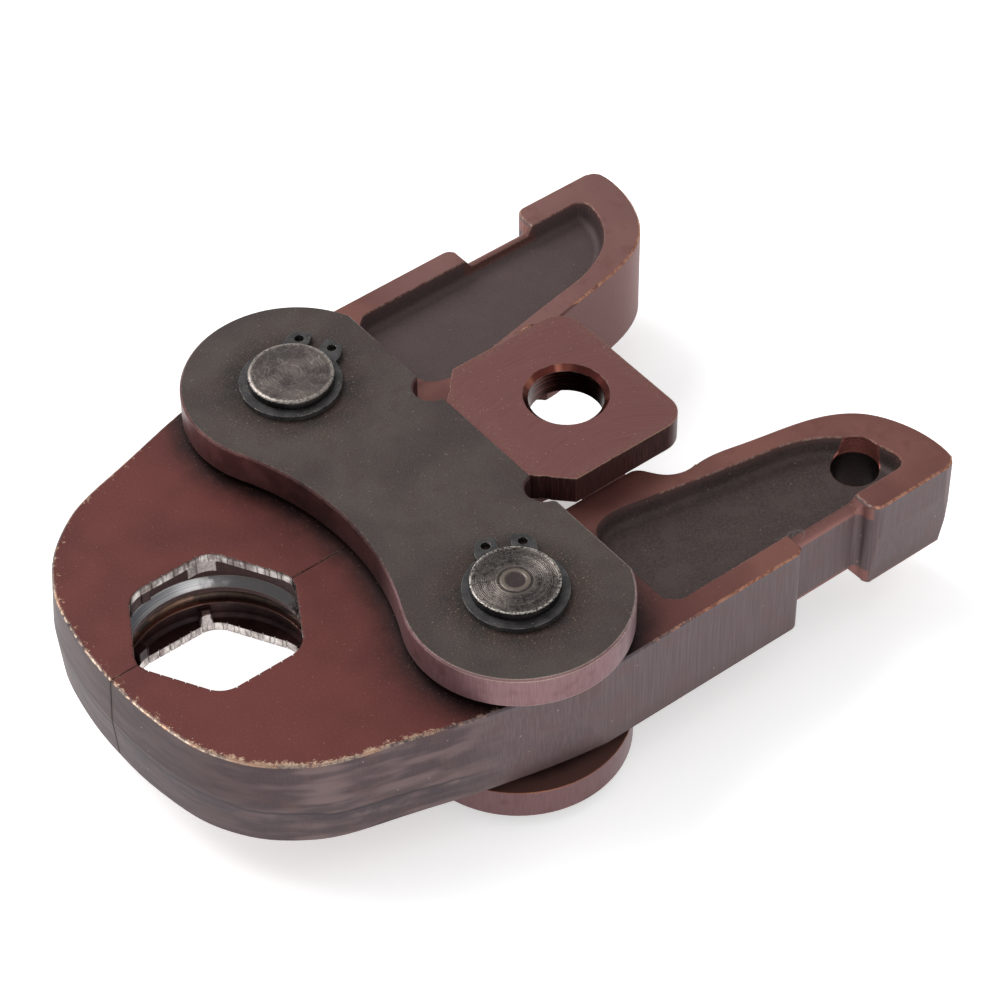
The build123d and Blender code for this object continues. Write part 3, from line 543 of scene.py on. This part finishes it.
def pin_material(name, worn):
    g = Graph(name)
    P, N = g.place()
    x, y, z = g.split(P)
    nx, ny, nz = g.split(N)
    u = g.add(x, 37.8)
    dv = g.sub(y, PIN_Y if worn else -PIN_Y)
    h = g.abs(z)
    r = g.length(u, dv)
    end = g.both(g.span(g.abs(nz), 0.75, 0.9), g.span(h, 20.3, 20.6))
    fine = g.noise(P, 2.4, 3.0, 0.65)
    cloud = g.noise(P, 0.22, 3.0, 0.6)
    turned = g.noise(g.join(g.mul(r, 3.4 if worn else 4.6), 0.0, 0.0), 1.0, 2.0, 0.6)
    # thin crooked scratches
    line_a = g.noise(g.join(g.mul(x, 0.42), g.mul(y, 0.16), 0.0), 1.0, 2.0, 0.45, 0.8)
    line_b = g.noise(g.join(g.mul(x, 0.12), g.mul(y, 0.36), 5.0), 1.0, 2.0, 0.45, 0.8)
    scratch_a = g.mul(g.span(g.abs(g.sub(line_a, 0.5)), 0.014, 0.004), g.span(cloud, 0.42, 0.52))
    scratch_b = g.mul(g.span(g.abs(g.sub(line_b, 0.48)), 0.012, 0.003), g.span(cloud, 0.58, 0.46))
    around = g.math("ARCTAN2", dv, u)
    # two opposite lobes round the axis: a painted highlight of the turned face
    glint = g.span(g.abs(g.math("COSINE", g.sub(around, math.radians(8.0)))), 0.72, 1.0)
    c_body = g.mix(g.span(cloud, 0.4, 0.65), rgb(44, 42, 44), rgb(78, 74, 73))
    if worn:
        c_end = g.mix(g.span(cloud, 0.36, 0.66), rgb(84, 77, 76), rgb(116, 107, 103))
        c_end = g.mix(g.mul(g.span(turned, 0.42, 0.62), 0.30), c_end, rgb(74, 68, 68))
        c_end = g.mix(g.mul(g.span(g.abs(g.sub(r, 3.1)), 0.22, 0.05), 0.35), c_end, rgb(62, 57, 57))
        c_end = g.mix(g.mul(scratch_a, 0.32), c_end, rgb(176, 166, 158))
        c_end = g.mix(g.mul(scratch_b, 0.25), c_end, rgb(156, 148, 142))
        c_end = g.mix(g.mul(g.span(fine, 0.5, 0.72), 0.25), c_end, rgb(138, 126, 118))
        c_end = g.mix(g.both(g.span(r, 7.0, 7.5), g.span(fine, 0.34, 0.54), 0.75), c_end, rgb(178, 168, 160))
    else:
        rings_d = g.math("FRACT", g.div(g.sub(r, 3.40), 0.345))
        ring_line = g.both(g.span(g.abs(g.sub(rings_d, 0.38)), 0.22, 0.10), g.span(r, 3.2, 3.4), g.span(g.noise(g.join(g.mul(r, 1.5), g.mul(around, 1.2), 0.0), 1.0, 2.0), 0.36, 0.56))
        c_end = g.mix(g.span(turned, 0.36, 0.64), rgb(48, 42, 41), rgb(72, 64, 62))
        # inside the highlight lobes the face is painted lighter and its ring lines bright; outside them the ring lines
        # are dark
        c_end = g.mix(g.both(glint, g.span(g.add(cloud, g.mul(fine, 0.3)), 0.54, 0.72), 0.30), c_end, rgb(126, 116, 110))
        c_end = g.mix(g.mul(g.either(scratch_a, scratch_b), 0.28), c_end, rgb(156, 146, 138))
        c_end = g.mix(g.mul(ring_line, 0.46), c_end, g.mix(glint, rgb(38, 32, 31), rgb(156, 146, 138)))
        c_end = g.mix(g.both(g.span(r, 7.45, 7.75), g.span(fine, 0.40, 0.58), 0.8), c_end, rgb(204, 196, 188))
        c_end = g.mix(g.both(g.span(r, 3.9, 3.2), g.span(r, 2.6, 3.0), 0.40), c_end, rgb(138, 126, 118))
        c_end = g.mix(g.both(g.span(r, 3.12, 3.0), g.span(r, 2.66, 2.78), 0.75), c_end, rgb(50, 41, 38))
        c_end = g.mix(g.both(g.span(r, 2.7, 2.6), g.span(r, 1.8, 1.95), 0.60), c_end, rgb(140, 128, 118))
        c_end = g.mix(g.mul(g.span(r, 1.9, 1.75), 0.9), c_end, rgb(74, 64, 64))
    color = g.mix(end, c_body, c_end)
    # the side just under each end is painted dark: painted shade
    side_shade = g.both(g.inv(end), g.span(h, 20.6, 19.4))
    color = g.mix(g.mul(side_shade, 0.75), color, rgb(22, 19, 19))
    bits = g.both(specks(g, P, 1.5, 0.4, 0.03, 0.2), g.inv(end), g.span(h, 18.5, 19.2))
    color = g.mix(g.mul(bits, 0.5), color, rgb(180, 168, 160))
    edge, rounded = g.edges(0.30 if worn else 0.20, 0.01, 0.08)
    rim = g.span(r, 7.2, 7.5)
    wear = g.both(edge, g.span(g.noise(P, 1.2, 3.0, 0.7), 0.36, 0.52), g.lerp(rim, 0.25, 1.0), g.span(h, 20.0, 20.4))
    color = g.mix(g.mul(wear, 0.9), color, rgb(226, 218, 210))
    rough = g.lerp(end, 0.42, g.span(fine, 0.3, 0.7, 0.28, 0.42))
    height = g.add(g.mul(turned, 0.8), g.mul(fine, 0.4))
    normal = g.bump(height, 0.35, 0.05, rounded)
    return g.shader(color, rough, 0.9, normal)


def circlip_material():
    g = Graph("circlip_blued")
    P, N = g.place()
    fine = g.noise(P, 2.8, 3.0, 0.65)
    cloud = g.noise(P, 0.3, 3.0, 0.6)
    color = g.mix(g.span(cloud, 0.38, 0.66), rgb(54, 53, 54), rgb(76, 74, 74))
    color = g.mix(g.mul(g.span(fine, 0.55, 0.72), 0.5), color, rgb(92, 85, 80))
    color = g.mix(g.mul(specks(g, P, 1.4, 0.25, 0.10, 0.28), 0.6), color, rgb(150, 134, 122))
    edge, rounded = g.edges(0.18, 0.01, 0.09)
    wear = g.mul(edge, g.span(g.noise(P, 0.9, 3.0, 0.7), 0.42, 0.58))
    color = g.mix(g.mul(wear, 0.8), color, rgb(176, 168, 162))
    rough = g.span(fine, 0.3, 0.7, 0.34, 0.50)
    normal = g.bump(fine, 0.30, 0.04, rounded)
    return g.shader(color, rough, 0.6, normal)


def spring_material():
    g = Graph("spring_wire")
    P, N = g.place()
    fine = g.noise(P, 3.0, 3.0, 0.6)
    cloud = g.noise(P, 0.5, 2.0, 0.5)
    color = g.mix(g.span(cloud, 0.4, 0.65), rgb(96, 92, 90), rgb(140, 134, 128))
    color = g.mix(g.mul(g.span(fine, 0.55, 0.72), 0.4), color, rgb(74, 62, 56))
    rough = g.span(fine, 0.3, 0.7, 0.30, 0.45)
    return g.shader(color, rough, 0.9, g.bump(fine, 0.25, 0.03))


def lint_material():
    g = Graph("lint_fibre")
    P, N = g.place()
    fine = g.noise(P, 1.5, 2.0, 0.5)
    color = g.mix(fine, rgb(124, 122, 121), rgb(162, 160, 157))
    return g.shader(color, g.span(fine, 0.3, 0.7, 0.7, 0.9), 0.0, None, spec=0.2)


# ---- pieces ------------------------------------------------------------------------------------------
def add_mesh(name, verts, faces, material, smooth_deg=30.0):
    me = bpy.data.meshes.new(name)
    me.from_pydata([tuple(c * MM for c in p) for p in verts], [], faces)
    me.materials.append(material)
    me.validate()
    me.update()
    ob = bpy.data.objects.new(name, me)
    bpy.context.scene.collection.objects.link(ob)
    bm = bmesh.new()
    bm.from_mesh(me)
    bmesh.ops.recalc_face_normals(bm, faces=bm.faces)
    for f in bm.faces:
        f.smooth = True
    for e in bm.edges:
        if len(e.link_faces) == 2 and e.calc_face_angle(0.0) > math.radians(smooth_deg):
            e.smooth = False
    bm.to_mesh(me)
    bm.free()
    return ob


def turned_piece(name, cx, cy, profile, material, segments=192, wobble=None):
    """A closed turned body round a vertical axis; the profile runs from the axis at the bottom to the axis at the top."""
    verts, faces = [], []
    rows = []
    for r, z in profile:
        if r < 1e-6:
            rows.append([len(verts)])
            verts.append((cx, cy, z))
        else:
            row = []
            for i in range(segments):
                a = 2 * math.pi * i / segments
                dr, dz = wobble(r, z, a) if wobble else (0.0, 0.0)
                row.append(len(verts))
                verts.append((cx + (r + dr) * math.cos(a), cy + (r + dr) * math.sin(a), z + dz))
            rows.append(row)
    for lower, upper in zip(rows, rows[1:]):
        for i in range(segments):
            j = (i + 1) % segments
            if len(lower) == 1:
                faces.append((lower[0], upper[j], upper[i]))
            elif len(upper) == 1:
                faces.append((lower[i], lower[j], upper[0]))
            else:
                faces.append((lower[i], lower[j], upper[j], upper[i]))
    return add_mesh(name, verts, faces, material, 28.0)


def pin_profile(fresh, rng):
    """Half profile of a pivot pin with lathe rings on both ends, mirrored about mid height."""
    zt = PIN_END
    if fresh:
        # small flat dimple, a bright land, a ring groove, then the turned face
        top = [(0.0, -0.16), (0.9, -0.15), (1.72, -0.13), (1.84, -0.03), (1.95, 0.0), (2.60, 0.0), (2.70, -0.03), (2.78, -0.15), (3.00, -0.16),
               (3.10, -0.05), (3.18, 0.0)]
        r = 3.40
        while r < 7.45:
            top += [(r, 0.0), (r + 0.10, -0.045 - 0.02 * rng.random()), (r + 0.16, -0.045 - 0.02 * rng.random()), (r + 0.24, 0.0)]
            r += 0.345
        top.append((7.80, 0.0))
        side = [(7.92, zt - 0.04), (7.98, zt - 0.12), (8.0, zt - 0.28)]
    else:
        top = [(0.0, -0.10), (0.6, -0.09), (1.2, -0.05), (1.6, -0.02), (1.75, -0.05), (1.9, -0.01)]
        r = 2.3
        while r < 6.9:
            top += [(r, 0.0), (r + 0.18, -0.022 - 0.012 * rng.random()), (r + 0.36, 0.0)]
            r += 0.62
        top.append((7.55, 0.0))
        side = [(7.72, zt - 0.06), (7.90, zt - 0.20), (7.98, zt - 0.40), (8.0, zt - 0.60)]
    side += [(8.0, 19.35), (7.95, 19.28), (7.62, 19.24), (7.6, 19.2), (7.6, 18.2), (7.62, 18.16), (7.98, 18.12), (8.0, 18.06)]
    upper = [(r, zt + dz) for r, dz in top] + side
    lower = [(r, -z) for r, z in upper]
    return lower + upper[::-1]


def make_pins():
    for name, side, fresh, body in (("left_pin", 1, False, "link_frame"), ("right_pin", -1, True, "link_frame")):
        rng = random.Random(5 if fresh else 9)
        mat = pin_material("pin_turned" if fresh else "pin_scuffed", not fresh)
        cy = side * PIN_Y

        def wobble(r, z, a, fresh=fresh, side=side):
            if abs(z) > PIN_END - 0.5 and r > 7.5:
                n = noise.noise(Vector((math.cos(a) * 4.2, math.sin(a) * 4.2, side * 3.0)))
                n2 = noise.noise(Vector((math.cos(a) * 13.0, math.sin(a) * 13.0, side * 7.0)))
                k = 0.05 if fresh else 0.09
                return (-abs(n) * k - abs(n2) * k * 0.6, 0.0)
            return (0.0, 0.0)

        ob = turned_piece(name + "_turned", PIN_X, cy, pin_profile(fresh, rng), mat, 192, wobble)
        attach(ob, body)
        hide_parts(name)


def coil_half(name, sign, material):
    """Half of the return spring, from the middle plane out to its closed end in one lever."""
    cx, r, wire = PIN_X + 12.0, 3.4, 0.75
    length, turns = 20.85, 3.5
    steps, ring = 240, 14
    pts = []
    for i in range(steps + 1):
        t = i / steps
        a = 2 * math.pi * turns * t
        # the last turn lies close against the one before
        s = t if t < 0.78 else 0.78 + (t - 0.78) * 0.9
        yy = length * s / (0.78 + 0.22 * 0.9)
        pts.append(Vector((cx + r * math.cos(sign * a), sign * yy, r * math.sin(sign * a))))
    verts, faces = [], []
    for i, p in enumerate(pts):
        q = pts[min(i + 1, steps)] - pts[max(i - 1, 0)]
        q.normalize()
        out = Vector((p.x - cx, 0, p.z)).normalized()
        b = q.cross(out).normalized()
        out = b.cross(q)
        for k in range(ring):
            a = 2 * math.pi * k / ring
            verts.append(tuple(p + out * (wire * math.cos(a)) + b * (wire * math.sin(a))))
    for i in range(steps):
        for k in range(ring):
            m = (k + 1) % ring
            faces.append((i * ring + k, i * ring + m, (i + 1) * ring + m, (i + 1) * ring + k))
    faces.append(tuple(range(ring))[::-1])
    faces.append(tuple(steps * ring + k for k in range(ring)))
    return add_mesh(name, verts, faces, material, 60.0)


def make_spring():
    mat = spring_material()
    left = coil_half("return_spring_left", 1, mat)
    right = coil_half("return_spring_right", -1, mat)
    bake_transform(left)
    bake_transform(right)
    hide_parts("return_spring")


def make_lint():
    """A few loose fibres caught on the right lever beside its notch."""
    mat = lint_material()
    curls = (
        ((13.0, -43.4, 6.12), (14.3, -44.2, 6.5), (15.6, -44.4, 6.9), (16.8, -44.7, 7.0), (18.0, -44.6, 6.6)),
        ((14.6, -44.9, 6.6), (15.4, -44.2, 7.0), (16.3, -44.5, 7.2), (17.1, -44.2, 6.8), (17.8, -43.5, 6.2)),
        ((15.2, -45.4, 6.9), (16.2, -44.9, 7.3), (16.9, -45.2, 7.5), (17.2, -46.0, 8.0), (16.6, -46.8, 8.3)),
        ((15.8, -45.0, 6.8), (16.6, -45.6, 7.6), (16.9, -46.6, 8.3), (16.2, -47.4, 8.5), (15.4, -47.8, 8.3)),
    )
    verts, faces = [], []
    ring, steps, wire = 6, 24, 0.026
    for curl in curls:
        pts = [Vector(p) for p in curl]
        line = []
        for i in range(steps + 1):
            t = i / steps * (len(pts) - 1)
            k = min(int(t), len(pts) - 2)
            f = t - k
            p0, p1, p2, p3 = pts[max(k - 1, 0)], pts[k], pts[k + 1], pts[min(k + 2, len(pts) - 1)]
            line.append(0.5 * ((2 * p1) + (p2 - p0) * f + (2 * p0 - 5 * p1 + 4 * p2 - p3) * f * f + (3 * p1 - p0 - 3 * p2 + p3) * f ** 3))
        base = len(verts)
        for i, p in enumerate(line):
            q = (line[min(i + 1, steps)] - line[max(i - 1, 0)]).normalized()
            a = q.cross(Vector((0.3, 0.2, 1.0))).normalized()
            b = q.cross(a)
            for k in range(ring):
                w = 2 * math.pi * k / ring
                verts.append(tuple(p + a * (wire * math.cos(w)) + b * (wire * math.sin(w))))
        for i in range(steps):
            for k in range(ring):
                m = (k + 1) % ring
                faces.append((base + i * ring + k, base + i * ring + m, base + (i + 1) * ring + m, base + (i + 1) * ring + k))
        faces.append(tuple(base + k for k in range(ring))[::-1])
        faces.append(tuple(base + steps * ring + k for k in range(ring)))
    ob = add_mesh("right_jaw_lint", verts, faces, mat, 60.0)
    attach(ob, "right_lever")


def dress(name, material):
    me = nodes[name].data
    me.materials.clear()
    me.materials.append(material)


jaw = jaw_material()
plate = plate_material()
clip = circlip_material()
for n in ("left_jaw", "right_jaw"):
    dress(n, jaw)
for n in ("top_link_plate", "bottom_link_plate"):
    dress(n, plate)
for n in ("left_top_circlip", "right_top_circlip", "left_bottom_circlip", "right_bottom_circlip"):
    dress(n, clip)
for n in ("left_pin", "right_pin"):
    dress(n, circlip_material())
dress("return_spring", spring_material())
make_pins()
make_spring()
make_lint()


# ---- floor, light, camera --------------------------------------------------------------------------------
def floor_piece():
    me = bpy.data.meshes.new("floor")
    s = 3.0
    z = FLOOR_Z * MM
    me.from_pydata([(-s, -s, z), (s, -s, z), (s, s, z), (-s, s, z)], [], [(0, 1, 2, 3)])
    g = Graph("pale_floor")
    P, N = g.place()
    soft = g.noise(P, 0.004, 2.0, 0.5)
    x, y, z = g.split(P)
    # the floor glows evenly, and brighter in spots under the nose and between the tails: painted light that lifts the
    # shadows there
    glow_spots = g.either(g.span(g.length(g.add(x, 67.0), g.sub(y, 20.0)), 34.0, 18.0), g.span(g.length(g.sub(x, 23.0), g.sub(y, 27.0)), 18.0, 9.0))
    g.shader(g.mix(soft, (0.90, 0.90, 0.905, 1.0), (0.93, 0.93, 0.93, 1.0)), 0.85, 0.0, None, spec=0.1, glow=g.lerp(glow_spots, 0.44, 0.95))
    g.mat.cycles.emission_sampling = 'NONE'
    me.materials.append(g.mat)
    ob = bpy.data.objects.new("floor", me)
    bpy.context.scene.collection.objects.link(ob)


floor_piece()

world = bpy.data.worlds.new("studio")
bpy.context.scene.world = world
world.use_nodes = True
world.node_tree.nodes["Background"].inputs["Color"].default_value = (1.0, 1.0, 1.0, 1.0)
world.node_tree.nodes["Background"].inputs["Strength"].default_value = 0.62


def area(name, place, aim, size, power, size_y=None):
    data = bpy.data.lights.new(name, "AREA")
    data.energy = power
    data.size = size
    if size_y:
        data.shape = "RECTANGLE"
        data.size_y = size_y
    ob = bpy.data.objects.new(name, data)
    bpy.context.scene.collection.objects.link(ob)
    ob.location = place
    ob.rotation_euler = (Vector(aim) - Vector(place)).to_track_quat("-Z", "Y").to_euler()
    return ob


area("key", (-0.35, 0.75, 0.95), (0.0, 0.0, 0.0), 0.9, 11.0)
area("fill", (-0.35, -0.85, 0.35), (0.0, 0.0, 0.0), 0.7, 2.0)

cam_data = bpy.data.cameras.new("camera")
cam_data.lens = 125.65
cam_data.sensor_width = 36.0
cam = bpy.data.objects.new("camera", cam_data)
bpy.context.scene.collection.objects.link(cam)
right = Vector((0.78517, -0.61924, -0.00683))
up = Vector((0.44841, 0.56088, 0.69595))
back = right.cross(up).normalized()
right = up.cross(back).normalized()
cam.matrix_world = Matrix((
    (right.x, up.x, back.x, -0.28906),
    (right.y, up.y, back.y, -0.35195),
    (right.z, up.z, back.z, 0.45965),
    (0.0, 0.0, 0.0, 1.0),
))
bpy.context.scene.camera = cam

light_paths = bpy.context.scene.cycles
light_paths.max_bounces = 5
light_paths.diffuse_bounces = 2
light_paths.glossy_bounces = 3
light_paths.transmission_bounces = 0

view = bpy.context.scene.view_settings
view.view_transform = "Standard"
view.look = "None"
view.exposure = 0.0
view.gamma = 1.0
